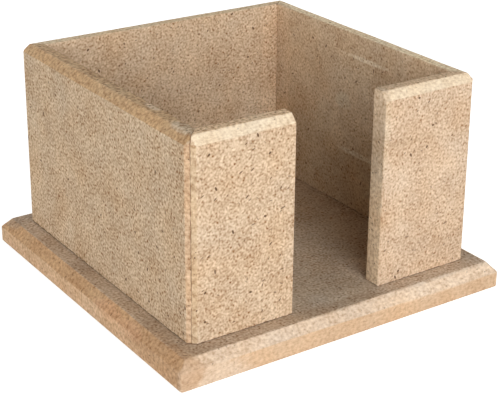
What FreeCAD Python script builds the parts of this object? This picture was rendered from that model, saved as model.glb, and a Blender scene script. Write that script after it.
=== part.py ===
# Square open-topped desk box of raw fibreboard, glued on a wider base board, with a finger gap
# in the middle of its front. Sizes are millimetres. The origin is the middle of the base's
# underside: +X runs to the right along the front, +Y to the back and +Z up, and the finger gap
# is on the -Y side.
import FreeCAD, Part
import os

# Driving sizes
box_side = 120.0  # outside of the box, which is square in plan
wall_height = 73.0  # upright boards, from the base board's top to the rim
wall_thickness = 7.0
finger_gap = 37.5  # between the two front panels, over their full height
base_thickness = 10.0
base_overhang = 9.2  # base board past the box, on every side
box_bevel = 3.0  # 45 degree bevel on the rim's outer edge and down the four outer corners
base_bevel = 3.4  # 45 degree bevel round the base board's top
box_rounding = 1.0  # radius sanded along the box's bevels
base_rounding = 1.2  # radius sanded along the base's bevel and down its corners
board_rounding = 0.4  # radius sanded on every other edge, apart from those in the mitre joints

# Worked out from the driving sizes
box_inside = box_side - 2 * wall_thickness
base_side = box_side + 2 * base_overhang
rim = base_thickness + wall_height

# Two numbers for finding edges: a length that counts as nothing, and the least angle in radians
# between two faces that counts as a sharp edge
tiny = 1e-5
sharp_angle = 0.05


def square_block(side, bottom, height):
    """Square block standing on the level `bottom`, centred on the Z axis."""
    corner = FreeCAD.Vector(-side / 2, -side / 2, bottom)
    return Part.makeBox(side, side, height, corner)


def bevelled_block(side, bottom, height, bevel, bevel_corners, rounding):
    """Square block with its top edge bevelled all round, and its corners too if asked."""
    block = square_block(side, bottom, height)
    edges = [edge for edge in block.Edges if edge.BoundBox.ZMin > bottom + height - tiny]
    if bevel_corners:
        edges += [edge for edge in block.Edges if edge.BoundBox.ZLength > height / 2]
    block = block.makeChamfer(bevel, edges)
    above_underside = [edge for edge in block.Edges if edge.BoundBox.ZMax > bottom + tiny]
    return block.makeFillet(rounding, above_underside).Solids[0]


def is_sharp(solid, edge):
    """True where the two faces beside the edge meet at an angle."""
    middle = edge.valueAt((edge.FirstParameter + edge.LastParameter) / 2)
    normals = []
    for face in solid.ancestorsOfType(edge, Part.Face):
        u, v = face.Surface.parameter(middle)
        normals.append(face.normalAt(u, v))
    return len(normals) == 2 and normals[0].getAngle(normals[1]) > sharp_angle


def is_on_mitre(edge):
    """True for an edge that lies in a mitre joint, on a diagonal of the square plan."""
    return all(abs(abs(end.X) - abs(end.Y)) < tiny for end in edge.Vertexes)


def sanded(board):
    """The board with its sharp edges rounded, apart from those glued in a mitre joint."""
    edges = [edge for edge in board.Edges if is_sharp(board, edge) and not is_on_mitre(edge)]
    return board.makeFillet(board_rounding, edges).Solids[0]


def base_board():
    """Square board with a bevelled and sanded top edge."""
    return sanded(bevelled_block(base_side, 0, base_thickness, base_bevel, False, base_rounding))


def glued_box():
    """The four sides as one ring, bevelled after gluing, with the finger gap cut through."""
    block = bevelled_block(box_side, base_thickness, wall_height, box_bevel, True, box_rounding)
    hollow = square_block(box_inside, base_thickness, wall_height)
    front = FreeCAD.Vector(-finger_gap / 2, -box_side / 2, base_thickness)
    gap = Part.makeBox(finger_gap, wall_thickness, wall_height, front)
    return block.cut(hollow).cut(gap)


def side_of_box(ring, turn):
    """Boards of the ring between two mitre joints; turn 0 is the front, and 90 the right."""
    reach = box_side
    corners = [
        FreeCAD.Vector(0, 0, 0),
        FreeCAD.Vector(-reach, -reach, 0),
        FreeCAD.Vector(reach, -reach, 0),
        FreeCAD.Vector(0, 0, 0),
    ]
    wedge = Part.Face(Part.makePolygon(corners)).extrude(FreeCAD.Vector(0, 0, rim))
    wedge.rotate(FreeCAD.Vector(0, 0, 0), FreeCAD.Vector(0, 0, 1), turn)
    boards = ring.common(wedge).Solids
    return sorted((sanded(board) for board in boards), key=lambda board: board.CenterOfMass.x)


def all_boards():
    """Every board by name."""
    ring = glued_box()
    front_left, front_right = side_of_box(ring, 0)
    (right,) = side_of_box(ring, 90)
    (back,) = side_of_box(ring, 180)
    (left,) = side_of_box(ring, 270)
    return {
        "base_board": base_board(),
        "left_wall": left,
        "right_wall": right,
        "back_wall": back,
        "front_left_panel": front_left,
        "front_right_panel": front_right,
    }


os.makedirs("parts", exist_ok=True)
for name, board in all_boards().items():
    board.exportStep("parts/" + name + ".step")
    print(name, "valid" if board.isValid() else "not valid", round(board.Volume, 1), "mm3")
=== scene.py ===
# A square desk box of raw fibreboard as it looks in the hand: fibre-flecked faces, sanded bevels,
# edges eased with sandpaper, and the thin dark lines of its glued joints. It stands on a pale
# floor in soft studio light, seen from the photograph's angle.
import math

import bmesh
import bpy
import numpy as np
from mathutils import Matrix, Vector


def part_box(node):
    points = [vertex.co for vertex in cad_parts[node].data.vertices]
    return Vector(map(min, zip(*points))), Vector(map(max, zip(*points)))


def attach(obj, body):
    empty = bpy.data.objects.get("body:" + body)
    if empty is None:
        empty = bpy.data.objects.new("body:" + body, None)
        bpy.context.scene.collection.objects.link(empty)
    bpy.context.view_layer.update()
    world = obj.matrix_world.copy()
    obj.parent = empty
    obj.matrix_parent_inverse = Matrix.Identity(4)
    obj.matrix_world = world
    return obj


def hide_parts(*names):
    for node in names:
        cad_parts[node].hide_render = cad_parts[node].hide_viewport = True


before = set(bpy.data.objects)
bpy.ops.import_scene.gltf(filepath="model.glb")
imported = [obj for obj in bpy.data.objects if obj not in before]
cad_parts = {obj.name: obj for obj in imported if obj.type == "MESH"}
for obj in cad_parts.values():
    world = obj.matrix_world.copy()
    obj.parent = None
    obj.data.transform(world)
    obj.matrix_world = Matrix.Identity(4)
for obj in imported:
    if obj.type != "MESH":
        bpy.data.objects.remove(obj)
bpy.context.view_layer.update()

mm = 0.001


def corners_of(node):
    """Lowest and highest corner of a packed board, in millimetres."""
    return [np.array(corner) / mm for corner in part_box(node)]


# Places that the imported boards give, in millimetres
base_low, base_high = corners_of("base_board")
wall_low, wall_high = corners_of("left_wall")
base_half = base_high[0]
base_top = base_high[2]
box_half = -wall_low[0]
thickness = wall_high[0] - wall_low[0]
rim = wall_high[2]
gap_half = corners_of("front_right_panel")[0][0]

# Sanded shapes, in millimetres
rim_bevel_width = 2.8
rim_bevel_depth = 3.1
bevel_softness = 1.1  # radius along the bevels' arrises
edge_softness = 0.4  # radius of every other edge
joint_groove = 0.07  # what the sandpaper takes off either side of a mitre joint
sanding_ripple = 0.12  # how far the bevels wander from a straight line
base_bevel_width = 3.4
base_corner_radius = 0.9

# Width of the bevel down each corner of the box, at the rim and at the foot
corner_bevels = {
    "front_left": (2.9, 2.8),
    "front_right": (2.5, 1.8),
    "back_right": (2.2, 1.5),
    "back_left": (1.9, 1.0),
}

# Depth of the base board's bevel at its corners, which the sander left uneven
base_bevel_depths = {(-1, -1): 3.1, (1, -1): 4.1, (1, 1): 3.8, (-1, 1): 3.9}

# Fineness of the meshes
arc_steps = 5
guard = 0.3  # from an arc to the next point on the straight, which keeps flat faces flat
plain_step = 1.5
crowd_reach = 5.0  # from a board's end to where its points stand at the plain step
crowd_points = 20


def unit(vector):
    """The vector with a length of 1."""
    return vector / np.linalg.norm(vector)


def ripple(along, length, seed):
    """Smooth unevenness between about -1 and 1 along an edge."""
    dice = np.random.default_rng(seed)
    waves = [np.sin(math.tau * along * count / length + dice.uniform(0, math.tau)) / count
             for count in (1, 2.3, 4.1, 7.7)]
    return sum(waves) / 1.4


def rounded(corners, radii, closed):
    """Points along a path in a plane whose corners are rounded, with a guard beside each arc."""
    corners = [np.array(corner, float) for corner in corners]
    points = []
    for number, (corner, radius) in enumerate(zip(corners, radii)):
        if not closed and number in (0, len(corners) - 1):
            points.append(corner)
            continue
        back = unit(corners[number - 1] - corner)
        ahead = unit(corners[(number + 1) % len(corners)] - corner)
        turn = math.pi - math.acos(back @ ahead)
        reach = radius * math.tan(turn / 2)
        centre = corner + unit(back + ahead) * radius / math.cos(turn / 2)
        first = corner + back * reach - centre
        last = corner + ahead * reach - centre
        points.append(corner + back * (reach + guard))
        for step in range(arc_steps + 1):
            angle = turn * step / arc_steps
            swung = math.sin(turn - angle) * first + math.sin(angle) * last
            points.append(centre + swung / math.sin(turn))
        points.append(corner + ahead * (reach + guard))
    return np.array(points)


def skin(name, loops):
    """Closed mesh over a stack of closed loops of points, with a flat face over each end."""
    count, around = loops.shape[:2]
    index = np.arange(count * around).reshape(count, around)
    following = np.roll(index, -1, axis=1)
    bands = np.stack((index[:-1], following[:-1], following[1:], index[1:]), -1).reshape(-1, 4)
    ends = [index[0].tolist(), index[-1].tolist()]
    mesh = bpy.data.meshes.new(name)
    mesh.from_pydata((loops.reshape(-1, 3) * mm).tolist(), [], bands.tolist() + ends)
    shape = bmesh.new()
    shape.from_mesh(mesh)
    bmesh.ops.remove_doubles(shape, verts=shape.verts, dist=0.002 * mm)
    bmesh.ops.recalc_face_normals(shape, faces=shape.faces)
    shape.to_mesh(mesh)
    shape.free()
    mesh.shade_smooth()
    return mesh


def add_board(node, loops, material):
    """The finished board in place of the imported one."""
    board = bpy.data.objects.new(node + "_sanded", skin(node, loops))
    bpy.context.scene.collection.objects.link(board)
    board.data.materials.append(material)
    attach(board, "root")
    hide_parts(node)


def crowded(start, reach, count):
    """Distances from `start` to `reach`, close together at first and wider apart further on."""
    return start + (reach - start) * (np.arange(1, count + 1) / count) ** 1.5


def end_stations(mitred):
    """Distances from a board's end, and how far in the board's skin lies at each."""
    if mitred:
        ease = [(0, joint_groove), (joint_groove, 0)]
    else:
        angles = np.radians(np.linspace(90, 0, arc_steps + 1))
        ease = [(0, edge_softness + guard)]
        ease += [(edge_softness * (1 - math.sin(a)), edge_softness * (1 - math.cos(a))) for a in angles]
    return ease + [(distance, 0) for distance in crowded(ease[-1][0], crowd_reach, crowd_points)]


def stations(low, high, low_mitred, high_mitred):
    """Places along a board from `low` to `high`, with how far in its skin lies at each."""
    first = [(low + distance, inset) for distance, inset in end_stations(low_mitred)]
    last = [(high - distance, inset) for distance, inset in end_stations(high_mitred)][::-1]
    start, end = first[-1][0], last[0][0]
    between = np.linspace(start, end, round((end - start) / plain_step) + 1)[1:-1]
    return first + [(place, 0) for place in between] + last


def wall_section(width, depth, foot_ease, inset):
    """Upright board cut across: depth from its outer face, and height, for each point round it."""
    slope = math.hypot(width, depth)
    bevel_foot = rim - (width * depth + inset * (slope - depth)) / width
    bevel_head = (width * depth + inset * (slope - width)) / depth
    corners = [
        (inset, base_top + inset),
        (inset, bevel_foot),
        (bevel_head, rim - inset),
        (thickness - inset, rim - inset),
        (thickness - inset, base_top + inset),
    ]
    radii = [foot_ease, bevel_softness, bevel_softness, edge_softness, edge_softness]
    return rounded(corners, [max(radius - inset, 0.05) for radius in radii], closed=True)


def shave_corner(points, insets, side, widths, seed):
    """Planes the corner at a board's left (-1) or right (1) end back to a bevel."""
    rim_width, foot_width = widths
    height = (points[..., 2] - base_top) / (rim - base_top)
    width = foot_width + (rim_width - foot_width) * height
    width = width + sanding_ripple * ripple(points[..., 2], 60, seed)
    outward = np.array((side, -1, 0)) / math.sqrt(2)
    beyond = points @ outward - (2 * box_half - width) / math.sqrt(2) + insets[:, None]
    soft = bevel_softness * 0.25
    blended = (np.clip(beyond, -soft, soft) + soft) ** 2 / (4 * soft)
    return points - np.where(beyond > soft, beyond, blended)[..., None] * outward


def wall_loops(low, high, left, right, turn, seed):
    """Loops of points along an upright board. `left` and `right` name the corner at each end,
    or are None where the board is cut off square at the finger gap."""
    places = stations(low, high, left is not None, right is not None)
    insets = np.array([inset for _, inset in places])
    loops = []
    for place, inset in places:
        width = rim_bevel_width + sanding_ripple * ripple(place, 70, seed)
        depth = rim_bevel_depth + sanding_ripple * ripple(place, 55, seed + 1)
        foot_ease = 0.3 + 0.15 * ripple(place, 40, seed + 2)
        section = wall_section(width, depth, foot_ease, inset)
        y = section[:, 0] - box_half
        left_end = y if left else np.full_like(y, low)
        right_end = -y if right else np.full_like(y, high)
        x = left_end + (place - low) / (high - low) * (right_end - left_end)
        loops.append(np.stack((x, y, section[:, 1]), -1))
    points = np.array(loops)
    if left:
        points = shave_corner(points, insets, -1, corner_bevels[left], seed + 3)
    if right:
        points = shave_corner(points, insets, 1, corner_bevels[right], seed + 4)
    angle = math.radians(turn)
    x, y = points[..., 0].copy(), points[..., 1].copy()
    points[..., 0] = x * math.cos(angle) - y * math.sin(angle)
    points[..., 1] = x * math.sin(angle) + y * math.cos(angle)
    return points


def square_plan():
    """Round the base board: a point of a square from -1 to 1, and the way out, at each place."""
    near = guard / base_half
    between = np.linspace(-1, 1, round(2 * base_half / plain_step))[1:-1]
    side = np.concatenate(((-1 + near,), between, (1 - near,)))
    squares, outwards = [], []
    for turn in range(4):
        angle = math.radians(90 * turn)
        spin = np.array(((math.cos(angle), -math.sin(angle)), (math.sin(angle), math.cos(angle))))
        for place in side:
            squares.append(spin @ (place, -1))
            outwards.append(spin @ (0, -1))
        for step in range(arc_steps + 1):
            tilt = math.radians(90 * step / arc_steps)
            squares.append(spin @ (1, -1))
            outwards.append(spin @ (math.sin(tilt), -math.cos(tilt)))
    return np.array(squares), np.array(outwards)


def base_loops():
    """Loops of points round the base board, from its underside up over the bevel to its top."""
    squares, outwards = square_plan()
    rings = []
    for number, square in enumerate(squares):
        depth = sum(depth * (1 + square[0] * x) * (1 + square[1] * y) / 4
                    for (x, y), depth in base_bevel_depths.items())
        around = number / len(squares) * 8 * base_half
        depth = depth + sanding_ripple * ripple(around, 8 * base_half / 11, 31)
        width = base_bevel_width + sanding_ripple * ripple(around, 8 * base_half / 8, 32)
        path = [(2, 0), (0, 0), (0, base_top - depth), (width, base_top), (width + 2, base_top)]
        rings.append(rounded(path, [0, edge_softness, bevel_softness, bevel_softness, 0], closed=False))
    rings = np.array(rings)
    reach = base_half - rings[..., :1] - base_corner_radius
    flat = reach * squares[:, None] + base_corner_radius * outwards[:, None]
    return np.concatenate((flat, rings[..., 1:]), -1).transpose(1, 0, 2)


class Field:
    """A node's output. Python's arithmetic on it adds Math nodes."""

    def __init__(self, finish, socket):
        self.finish = finish
        self.socket = socket

    def calculate(self, operation, one, other):
        sockets = {"Value": one, "Value_001": other}
        return self.finish.node("Math", {"operation": operation}, sockets)["Value"]

    def __add__(self, other):
        return self.calculate("ADD", self, other)

    __radd__ = __add__

    def __sub__(self, other):
        return self.calculate("SUBTRACT", self, other)

    def __rsub__(self, other):
        return self.calculate("SUBTRACT", other, self)

    def __mul__(self, other):
        return self.calculate("MULTIPLY", self, other)

    __rmul__ = __mul__

    def __truediv__(self, other):
        return self.calculate("DIVIDE", self, other)

    def __abs__(self):
        return self.calculate("ABSOLUTE", self, 0)


class Finish:
    """A material, or the world's light, and the nodes that it is made of."""

    def __init__(self, owner):
        self.owner = owner
        owner.use_nodes = True
        self.tree = owner.node_tree
        self.tree.nodes.clear()

    def node(self, kind, settings, sockets):
        """A new node's outputs by name. Its settings are set first, and then its sockets get their
        values or links."""
        made = self.tree.nodes.new("ShaderNode" + kind)
        for name, value in settings.items():
            setattr(made, name, value)
        inputs = {socket.identifier: socket for socket in made.inputs}
        for name, value in sockets.items():
            if isinstance(value, Field):
                self.tree.links.new(value.socket, inputs[name])
            else:
                inputs[name].default_value = value
        return {socket.identifier: Field(self, socket) for socket in made.outputs}

    def vector(self, operation, one, other):
        """Vector arithmetic."""
        sockets = {"Vector": one, "Vector_001": other}
        return self.node("VectorMath", {"operation": operation}, sockets)["Vector"]

    def dot(self, one, other):
        """Dot product of two vectors."""
        sockets = {"Vector": one, "Vector_001": other}
        return self.node("VectorMath", {"operation": "DOT_PRODUCT"}, sockets)["Value"]

    def length(self, vector):
        """How long a vector is."""
        return self.node("VectorMath", {"operation": "LENGTH"}, {"Vector": vector})["Value"]

    def scaled(self, vector, factor):
        """The vector times a number."""
        sockets = {"Vector": vector, "Scale": factor}
        return self.node("VectorMath", {"operation": "SCALE"}, sockets)["Vector"]

    def unit(self, vector):
        """The vector with a length of 1."""
        return self.node("VectorMath", {"operation": "NORMALIZE"}, {"Vector": vector})["Vector"]

    def parts(self, vector):
        """A vector's X, Y and Z."""
        return self.node("SeparateXYZ", {}, {"Vector": vector})

    def joined(self, x, y, z):
        """A vector from its three parts."""
        return self.node("CombineXYZ", {}, {"X": x, "Y": y, "Z": z})["Vector"]

    def ramp(self, value, low, high):
        """0 below `low` and 1 above `high`, with a soft step between."""
        sockets = {"Value": value, "From Min": low, "From Max": high}
        return self.node("MapRange", {"interpolation_type": "SMOOTHSTEP"}, sockets)["Result"]

    def blend(self, amount, one, other):
        """Colour `one` where amount is 0, and `other` where it is 1."""
        sockets = {"Factor_Float": amount, "A_Color": one, "B_Color": other}
        return self.node("Mix", {"data_type": "RGBA"}, sockets)["Result_Color"]

    def shade(self, colour, amount, weights):
        """A colour with each channel made lighter by `amount` times its weight, or darker below 0."""
        amounts = self.joined(amount, amount, amount)
        sockets = {"Vector": amounts, "Vector_001": weights, "Vector_002": (1, 1, 1)}
        factor = self.node("VectorMath", {"operation": "MULTIPLY_ADD"}, sockets)["Vector"]
        return self.vector("MULTIPLY", colour, factor)

    def noise(self, place, size, detail):
        """Soft noise between 0 and 1 with lumps of about `size`."""
        sockets = {"Vector": place, "Scale": 1 / size, "Detail": detail, "Roughness": 0.55}
        return self.node("TexNoise", {}, sockets)["Fac"]

    def output(self, kind, surface):
        """Ends the nodes with their surface."""
        self.node("Output" + kind, {}, {"Surface": surface})
        return self.owner


# Sizes in the fibreboard's pattern, in millimetres
grain_size = 1.2
clump_size = 2.8
layer_size = 0.6
mottle_size = 4.5
drift_size = 13
cloud_size = 16
bark_radius = 0.52  # of the single bits that are placed one by one
bump_height = 0.012
line_width = 0.24  # half the width of a mitre joint's dark line

# Red, green and blue: how much more a channel changes than the pattern's strength. Dark fibres are
# browner than the board, and the drift of its tone goes from reddish to greyish.
fibre_weights = (0.91, 1.18, 1.43)
drift_weights = (0.08, -0.03, -0.18)

bark_colour = (0.11, 0.05, 0.02, 1)
joint_colour = (0.17, 0.085, 0.035, 1)
# Painted shade in the crease along the boards' feet
crease_shade_colour = (0.1, 0.05, 0.025, 1)

# The ways that the single bits point, taken in turn
bark_ways = [(0.6, 0.6, 0.53), (-0.4, -0.4, 0.82), (0.7, 0.7, -0.14)]


def ripples(finish, plane, seed, tuft, apart):
    """Short wavy fibres that lie every way in a plane, around 0. They lie `apart` from each other
    and keep one direction over a tuft."""
    place = finish.vector("ADD", plane, (17.3 * seed, 9.1 * seed, 0))
    sockets = {"Vector": place, "Scale": 1 / tuft, "Frequency": tuft / apart, "Anisotropy": 0}
    return finish.node("TexGabor", {"gabor_type": "2D"}, sockets)["Value"] - 0.5


def sliver(finish, offset, way, radius):
    """1 inside a bit with its middle at offset 0, and 0 outside. It is three times as long along
    the direction `way` as its width."""
    along = finish.dot(offset, way)
    squashed = finish.vector("SUBTRACT", offset, finish.scaled(way, along * 0.67))
    return finish.ramp(finish.length(squashed) / radius, 1, 0.5)


def specks(finish, solid, seed, spacing, radius, share):
    """Scattered bits of bark: up to 1 inside a bit, and 0 outside. `share` of the cells hold one."""
    place = finish.vector("ADD", solid, (5.7 * seed, 31.9 * seed, 12.3 * seed))
    cell = finish.node("TexVoronoi", {}, {"Vector": place, "Scale": 1 / spacing, "Randomness": 1})
    dice = finish.node("SeparateColor", {}, {"Color": cell["Color"]})
    way = finish.unit(finish.vector("SUBTRACT", cell["Color"], (0.5, 0.5, 0.5)))
    bit = sliver(finish, finish.vector("SUBTRACT", place, cell["Position"]), way, radius)
    return bit * finish.ramp(dice["Red"], 1 - share, 1 - share + 0.02) * (0.4 + 0.6 * dice["Blue"])


def fibreboard(name, outward, seed, face, contrast, sanded_sides_and_painted_light, marks, bark, foot):
    """Raw fibreboard: flecked on its two faces, and plainer where it is sawn or sandpapered.

    `outward` is the direction of the board's outer face. Both faces have the tone `face` and flecks
    of the strength `contrast`. The list of sides gives other directions, with the board's tone and
    the strength of its flecks where its surface faces them. These tones are partly the board's paler
    sanding and partly painted light and shade, lighter or darker for how the lamps light each side.
    `marks` lists stains and patches of painted light and shade: centre, reach, tone and strength.
    `bark` lists where single dark bits lie, and `foot` is the height of the painted line of shade in
    the crease along the board's foot."""
    finish = Finish(bpy.data.materials.new(name))
    here = finish.scaled(finish.node("TexCoord", {}, {})["Object"], 1 / mm)
    axes = finish.parts(here)
    normal = finish.node("NewGeometry", {}, {})["Normal"]
    facing = abs(finish.dot(normal, outward))
    solid = finish.vector("ADD", here, (53.7 * seed, 29.3 * seed, 17.9 * seed))
    flattened = [1 / 3 + 1.2 * abs(part) for part in outward]
    layers = finish.vector("MULTIPLY", solid, flattened)
    in_plane = [axes[letter] for letter, part in zip("XYZ", outward) if part == 0]
    plane = finish.vector("ADD", finish.joined(*in_plane, 0), (53.7 * seed, 29.3 * seed, 0))

    grain = finish.noise(solid, grain_size, 1) - 0.5
    clump = finish.noise(solid, clump_size, 2) - 0.5
    streak = finish.noise(layers, layer_size, 2) - 0.5
    cloud = finish.noise(solid, cloud_size, 3) - 0.5
    drift = finish.noise(solid, drift_size, 1) - 0.5
    mottle = finish.noise(solid, mottle_size, 2) - 0.5
    fibres = ripples(finish, plane, seed=1, tuft=1.7, apart=1.7)
    fibres = fibres + ripples(finish, plane, seed=2, tuft=1.3, apart=1.3)
    bits = specks(finish, solid, seed=1, spacing=2.4, radius=0.36, share=0.45)
    bits = bits + specks(finish, solid, seed=2, spacing=6.0, radius=0.5, share=0.6)

    # The tone and the strength of the flecks, for the way that the surface faces. The tones of the
    # sides are partly the board's paler sanding and partly painted light and shade. The tones meet
    # along ragged lines.
    ragged = grain * 0.1 + clump * 0.1
    on_face = finish.ramp(facing + ragged, 0.86, 0.93)
    side_colour_and_painted_light = face + (1,)
    strength = 0.7
    for direction, tone, flecking in sanded_sides_and_painted_light:
        across = finish.dot(normal, tuple(Vector(direction).normalized()))
        there = finish.ramp(across + ragged, 0.85, 0.95)
        side_colour_and_painted_light = finish.blend(there, side_colour_and_painted_light, tone + (1,))
        strength = strength + there * (flecking - strength)
    colour = finish.blend(on_face, side_colour_and_painted_light, face + (1,))
    strength = strength + on_face * (contrast - strength)

    # Stains and patches of painted light and shade, which thin out towards their edges
    for centre, reach, tone, amount in marks:
        away = finish.length(finish.vector("DIVIDE", finish.vector("SUBTRACT", here, centre), reach))
        stain_and_painted_light = finish.ramp(away + clump * 0.6, 1.2, 0.7)
        colour = finish.blend(stain_and_painted_light * amount, colour, tone + (1,))

    # Fine fibres on the faces, coarse grain and thin layers elsewhere, and slow changes over both.
    # The squared term makes dark flecks stand out more than light ones.
    flecks = grain * (1.5 - on_face * 0.7) + fibres * on_face * 0.9
    flecks = flecks - flecks * flecks * 0.5
    shading = flecks * strength + streak * (1 - on_face) * 0.45
    shading = shading + cloud * (0.3 + on_face * 0.25) + mottle * on_face * 0.3
    colour = finish.shade(colour, shading, fibre_weights)
    colour = finish.shade(colour, drift, drift_weights)

    # Dark bits of bark
    for number, place in enumerate(bark):
        offset = finish.vector("SUBTRACT", here, place)
        way = bark_ways[number % len(bark_ways)]
        bits = bits + sliver(finish, offset, way, bark_radius) / strength
    bits = finish.ramp(bits * strength, 0, 1)
    colour = finish.blend(bits * 0.9, colour, bark_colour)

    # Thin dark lines of the mitre joints, which lie where X and Y are alike and show from outside
    # and on the rim, and a line of painted shade in the crease along the foot
    if foot:
        inner_corner = 2 * (box_half - thickness)
        spread = abs(axes["X"]) + abs(axes["Y"])
        past_inside = finish.ramp(spread, inner_corner + 0.6, inner_corner + 1.6)
        from_joint = abs(abs(axes["X"]) - abs(axes["Y"])) / math.sqrt(2)
        broken = finish.ramp(finish.noise(solid, 2 * grain_size, 0), 0.36, 0.5)
        joint = finish.ramp(from_joint + clump * 0.3, line_width, line_width / 3) * broken * past_inside
        foot_crease_shade = finish.ramp(axes["Z"] - base_top + clump * 1.2, foot, foot * 0.4)
        colour = finish.blend(joint * 0.75, colour, joint_colour)
        colour = finish.blend(foot_crease_shade * 0.85, colour, crease_shade_colour)

    bump = finish.node("Bump", {}, {
        "Height": grain - bits,
        "Distance": bump_height * mm,
        "Strength": 1.0,
    })
    surface = finish.node("BsdfPrincipled", {}, {
        "Base Color": colour,
        "Roughness": 0.72 + on_face * 0.14,
        "Normal": bump["Normal"],
        "Specular IOR Level": 0.25,
    })
    return finish.output("Material", surface["BSDF"])


def pale_floor():
    """White floor that keeps the box's shadow. Only the camera sees its glow, so that it doesn't
    light the box."""
    finish = Finish(bpy.data.materials.new("pale_floor"))
    seen = finish.node("LightPath", {}, {})["Is Camera Ray"]
    glow = finish.node("Emission", {}, {"Color": (1, 1, 1, 1), "Strength": 0.7})["Emission"]
    plain = finish.node("BsdfDiffuse", {}, {"Color": (0.8, 0.79, 0.77, 1)})["BSDF"]
    both = finish.node("AddShader", {}, {"Shader": plain, "Shader_001": glow})["Shader"]
    mixed = finish.node("MixShader", {}, {"Fac": seen, "Shader": plain, "Shader_001": both})
    return finish.output("Material", mixed["Shader"])


def add_floor():
    """Plain round floor under the box. It ends where the lamps no longer light it white."""
    reach, corners = 0.95, 96
    turns = [math.tau * number / corners for number in range(corners)]
    rim_points = [(reach * math.cos(turn), reach * math.sin(turn), 0) for turn in turns]
    mesh = bpy.data.meshes.new("floor")
    mesh.from_pydata(rim_points, [], [range(corners)])
    floor = bpy.data.objects.new("floor", mesh)
    floor.location.z = -0.1 * mm
    floor.data.materials.append(pale_floor())
    bpy.context.scene.collection.objects.link(floor)


def add_sky(strength):
    """Even white light from all round. The camera sees a white background in its place."""
    sky = Finish(bpy.data.worlds.new("studio"))
    seen = sky.node("LightPath", {}, {})["Is Camera Ray"]
    light = sky.node("Background", {}, {"Color": (1, 1, 1, 1), "Strength": strength})["Background"]
    white = sky.node("Background", {}, {"Color": (1, 1, 1, 1), "Strength": 1.0})["Background"]
    mixed = sky.node("MixShader", {}, {"Fac": seen, "Shader": light, "Shader_001": white})
    bpy.context.scene.world = sky.output("World", mixed["Shader"])


def add_lamp(name, azimuth, elevation, size, power, colour):
    """Square soft lamp that shines on the box. Azimuth 0 is the front, and 90 the right."""
    across, up = math.radians(azimuth), math.radians(elevation)
    away = Vector((math.sin(across) * math.cos(up), -math.cos(across) * math.cos(up), math.sin(up)))
    data = bpy.data.lights.new(name, "AREA")
    data.size = size
    data.energy = power
    data.color = colour
    lamp = bpy.data.objects.new(name, data)
    lamp.location = Vector((0, 0, rim / 2 * mm)) + away * lamp_distance
    lamp.rotation_euler = away.to_track_quat("Z", "Y").to_euler()
    bpy.context.scene.collection.objects.link(lamp)


def add_camera():
    """Camera at the photograph's angle, worked out from the boards' edges in it. The photograph is
    cut from a larger one, so its middle isn't on the lens's axis: hence the small shift."""
    across, up, roll = math.radians(-33.76), math.radians(22.74), math.radians(0.32)
    aim = Vector((0, 0, 42)) * mm
    offset = Vector((-0.6, -6.5, 505.6)) * mm
    focal_pixels, photo_width = 1344.5, 500
    back = Vector((math.sin(across) * math.cos(up), -math.cos(across) * math.cos(up), math.sin(up)))
    right = Vector((0, 0, 1)).cross(back).normalized()
    turn = Matrix((right, back.cross(right), back)).transposed() @ Matrix.Rotation(roll, 3, "Z")
    data = bpy.data.cameras.new("camera")
    data.sensor_width = 36
    data.lens = focal_pixels / photo_width * data.sensor_width
    data.shift_x = 0.02
    data.shift_y = -0.06
    camera = bpy.data.objects.new("camera", data)
    camera.matrix_world = Matrix.Translation(aim + turn @ offset) @ turn.to_4x4()
    bpy.context.scene.collection.objects.link(camera)
    bpy.context.scene.camera = camera


# Tones that several boards share, as linear colours
corner_tone = (0.535, 0.38, 0.238)
# Cream of the front bevels, partly a painted sheen
cream_and_painted_sheen = (0.8, 0.64, 0.455)
scuff_tone = (0.7, 0.54, 0.38)
dark_tone = (0.4, 0.27, 0.16)
# Paler floor inside the box: painted light
inner_floor_painted_light = (0.56, 0.44, 0.32)
red_tone = (0.6, 0.33, 0.19)
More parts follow.
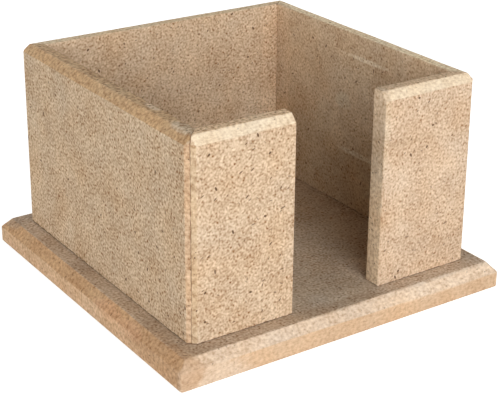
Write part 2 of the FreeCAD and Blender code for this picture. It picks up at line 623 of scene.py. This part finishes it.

# Each board's finish. Its stains, its patches of painted light and shade and its larger bits of
# bark lie where the photograph shows them.
finishes = {
    "front_left_panel": fibreboard(
        "front_left_panel", outward=(0, -1, 0), seed=1, face=(0.588, 0.428, 0.287), contrast=0.95,
        # Side tones: the cream front bevel is partly a painted sheen, and the paler cut face at the gap
        # partly painted light
        sanded_sides_and_painted_light=[
            ((-1, -1, 0), corner_tone, 0.9),
            ((0, -1, 1), cream_and_painted_sheen, 0.5),
            ((0, 0, 1), (0.725, 0.51, 0.315), 1.25),
            ((1, 0, 0), (0.75, 0.55, 0.36), 0.7),
        ],
        marks=[],
        bark=[
            (-29.2, -60, 71.8), (-43.4, -60, 47.3), (-30.8, -60, 49.9), (-52.5, -60, 76.1),
            (-49.9, -60, 64.0), (-36.3, -60, 23.5), (-54.2, -60, 28.2), (-34.0, -60, 79.0),
            (-54.3, -60, 17.5), (-55.5, -59, 82.0),
        ],
        foot=0.45,
    ),
    "front_right_panel": fibreboard(
        "front_right_panel", outward=(0, -1, 0), seed=2, face=(0.6, 0.433, 0.296), contrast=0.84,
        # Side tones: the cream front bevel is partly a painted sheen, and the paler cut face at the gap
        # partly painted light
        sanded_sides_and_painted_light=[
            ((1, -1, 0), corner_tone, 0.9),
            ((0, -1, 1), cream_and_painted_sheen, 0.5),
            ((0, 0, 1), (0.68, 0.485, 0.31), 1.1),
            ((-1, 0, 0), (0.82, 0.63, 0.43), 0.8),
        ],
        marks=[
            ((32, -60, 63.6), (16, 2, 1.5), dark_tone, 0.25),
            # Darker towards the top of the cut face at the gap: painted shade
            ((18.7, -56.5, 76), (3, 6, 26), (0.62, 0.47, 0.325), 0.9),
        ],
        bark=[
            (28.0, -60, 13.7), (26.7, -60, 11.6), (33.3, -60, 78.7), (38.1, -60, 59.7),
            (30.9, -60, 58.1), (40.3, -60, 67.4),
        ],
        foot=0.35,
    ),
    "right_wall": fibreboard(
        "right_wall", outward=(1, 0, 0), seed=3, face=(0.55, 0.398, 0.258), contrast=0.8,
        # Side tones: the very pale rim top is partly painted light
        sanded_sides_and_painted_light=[
            ((1, -1, 0), corner_tone, 0.9),
            ((1, 1, 0), corner_tone, 0.9),
            ((1, 0, 1), (0.61, 0.45, 0.28), 0.6),
            ((0, 0, 1), (0.88, 0.71, 0.475), 0.8),
        ],
        marks=[
            # Darker lower inside: painted shade
            ((53, 0, 26), (2, 44, 26), (0.54, 0.425, 0.295), 0.85),
            # Paler middle of the inside: painted light
            ((53, 2, 53), (2, 15, 22), (0.64, 0.5, 0.35), 0.6),
            # Paler inside corner by the back wall: painted light against the corner's shade
            ((53, 51, 60), (2, 8, 45), (0.65, 0.475, 0.315), 0.7),
            ((53, -5, 74), (2, 14, 0.9), (0.72, 0.59, 0.43), 0.9),
            ((53, -4, 34.2), (2, 13, 1.1), (0.72, 0.63, 0.49), 0.9),
            ((53, -5, 23.8), (2, 7, 0.7), scuff_tone, 0.4),
            ((53, 7, 54), (2, 5, 3.5), (0.64, 0.56, 0.42), 0.5),
        ],
        bark=[(53, 28.0, 74.8), (53, 19.2, 73.5), (53, 30.5, 19.4), (53, -0.4, 36.0)],
        foot=0.35,
    ),
    "back_wall": fibreboard(
        "back_wall", outward=(0, 1, 0), seed=4, face=(0.61, 0.447, 0.3), contrast=0.9,
        # Side tones: the pale rim top is partly painted light
        sanded_sides_and_painted_light=[
            ((-1, 1, 0), corner_tone, 0.9),
            ((1, 1, 0), corner_tone, 0.9),
            ((0, 1, 1), (0.61, 0.45, 0.28), 0.6),
            ((0, 0, 1), (0.78, 0.6, 0.385), 0.8),
        ],
        marks=[
            # Paler inside corner by the right wall: painted light against the corner's shade
            ((51, 53, 60), (6, 2, 45), (0.69, 0.505, 0.34), 0.7),
            # Darker low in the middle of the inside: painted shade
            ((12, 53, 22), (22, 3, 14), (0.54, 0.395, 0.255), 0.7),
        ],
        bark=[
            (30.4, 53, 82.1), (40.8, 53, 74.5), (38.4, 53, 62.5), (-35.5, 53, 77.9),
            (-31.1, 53, 68.7),
        ],
        foot=0.35,
    ),
    "left_wall": fibreboard(
        "left_wall", outward=(-1, 0, 0), seed=5, face=(0.565, 0.412, 0.27), contrast=1.1,
        # Side tones: the darker rim top is partly painted shade
        sanded_sides_and_painted_light=[
            ((-1, -1, 0), (0.545, 0.366, 0.228), 0.95),
            ((-1, 1, 0), (0.545, 0.366, 0.228), 0.95),
            ((-1, 0, 1), (0.54, 0.34, 0.175), 0.9),
            ((0, 0, 1), (0.55, 0.355, 0.187), 1.25),
        ],
        marks=[
            # Paler low down towards the back: painted light
            ((-60, 42, 28), (3, 24, 20), (0.605, 0.44, 0.288), 0.5),
            ((-54.2, -28, 83), (1.8, 5, 1.5), scuff_tone, 0.6),
            ((-56, -51, 83), (3, 7, 1.5), (0.62, 0.5, 0.36), 0.6),
        ],
        bark=[
            (-60, -26.7, 30.8), (-60, -32.6, 26.9), (-60, -33.2, 14.9), (-60, -55.7, 13.0),
            (-60, -17.2, 16.6), (-60, -24.6, 37.7), (-60, -39.4, 38.0),
        ],
        foot=0.6,
    ),
    "base_board": fibreboard(
        "base_board", outward=(0, 0, 1), seed=6, face=(0.475, 0.353, 0.248), contrast=0.9,
        # Side tones: the creamier front bevel is partly a painted sheen
        sanded_sides_and_painted_light=[
            ((0, -1, 1), (0.68, 0.52, 0.38), 0.6),
            ((-1, 0, 1), (0.53, 0.322, 0.167), 0.8),
            ((0, 1, 1), (0.61, 0.43, 0.27), 0.7),
            ((1, 0, 1), (0.61, 0.43, 0.27), 0.7),
            ((0, -1, 0), (0.63, 0.43, 0.27), 0.4),
            ((-1, 0, 0), (0.655, 0.435, 0.265), 0.75),
            ((0, 1, 0), (0.63, 0.43, 0.27), 0.6),
            ((1, 0, 0), (0.63, 0.43, 0.27), 0.6),
        ],
        marks=[
            ((-66, -69.2, 2), (24, 2.5, 8), (0.7, 0.54, 0.4), 0.9),
            # Creamier front bevel on the right: partly a painted sheen
            ((45, -69, 8.3), (42, 3, 2.6), (0.75, 0.565, 0.4), 0.9),
            # Paler floor inside and at the gap: painted light
            ((0, 0, 10), (54, 54, 4), inner_floor_painted_light, 1.0),
            ((0, -50, 10), (22, 14, 3), inner_floor_painted_light, 1.0),
            # Paler patch at the gap's foot by the right panel: painted light against the shade there
            ((22, -46, 10), (7, 11, 3), (0.7, 0.55, 0.41), 0.6),
            ((45, -63, 11), (32, 4, 3), (0.555, 0.42, 0.3), 0.9),
            # Darker strip of the top along the right side: painted shade
            ((64, -20, 10), (6, 45, 3), (0.42, 0.31, 0.215), 0.9),
            # Darker back left corner of the top: painted shade
            ((-65, 66, 10), (8, 9, 3), (0.39, 0.28, 0.19), 0.6),
            ((-62.4, -10, 10.4), (3.7, 90, 1.3), (0.52, 0.382, 0.264), 0.9),
            ((-62.8, -50, 10.4), (3.9, 22, 1.3), (0.44, 0.315, 0.21), 0.8),
            ((-4, -63.5, 10.4), (20, 3.5, 1.6), (0.44, 0.32, 0.215), 0.8),
            ((-68, -69, 6), (8, 36, 6), (0.48, 0.28, 0.145), 0.6),
            ((-69, -18, 7.5), (4, 9, 3), red_tone, 0.4),
            ((-69, -34.5, 7.2), (4, 8, 3), red_tone, 0.4),
        ],
        bark=[],
        foot=0,
    ),
}

# Each upright board: its ends, the corner that it meets at either, its turn and the seed of its
# unevenness
upright_boards = [
    ("front_left_panel", -box_half, -gap_half, "front_left", None, 0, 11),
    ("front_right_panel", gap_half, box_half, None, "front_right", 0, 12),
    ("right_wall", -box_half, box_half, "front_right", "back_right", 90, 13),
    ("back_wall", -box_half, box_half, "back_right", "back_left", 180, 14),
    ("left_wall", -box_half, box_half, "back_left", "front_left", 270, 15),
]
for node, low, high, left, right, turn, seed in upright_boards:
    add_board(node, wall_loops(low, high, left, right, turn, seed), finishes[node])
add_board("base_board", base_loops(), finishes["base_board"])

# Each lamp: its azimuth, elevation, size in metres, power in watts and colour
lamp_distance = 1.0
warm_white = (1, 0.995, 0.985)
lamps = {
    "front": (0, 15, 0.45, 2.75, warm_white),
    "high_front": (0, 32, 0.45, 1.45, warm_white),
    "front_left": (-20, 10, 0.35, 4.1, warm_white),
    "left": (-90, 15, 0.45, 4.0, (1, 1, 0.99)),
    "front_right": (60, 8, 0.45, 0.9, (1, 1, 1)),
    "high_right": (65, 58, 0.45, 0.9, (1, 1, 1)),
    "right": (90, 10, 0.45, 2.4, (1, 1, 1)),
    "back": (180, 20, 0.45, 4.2, (1, 1, 1)),
}
add_floor()
add_sky(0.08)
for name, values in lamps.items():
    add_lamp(name, *values)
add_camera()
bpy.context.scene.view_settings.view_transform = "Standard"
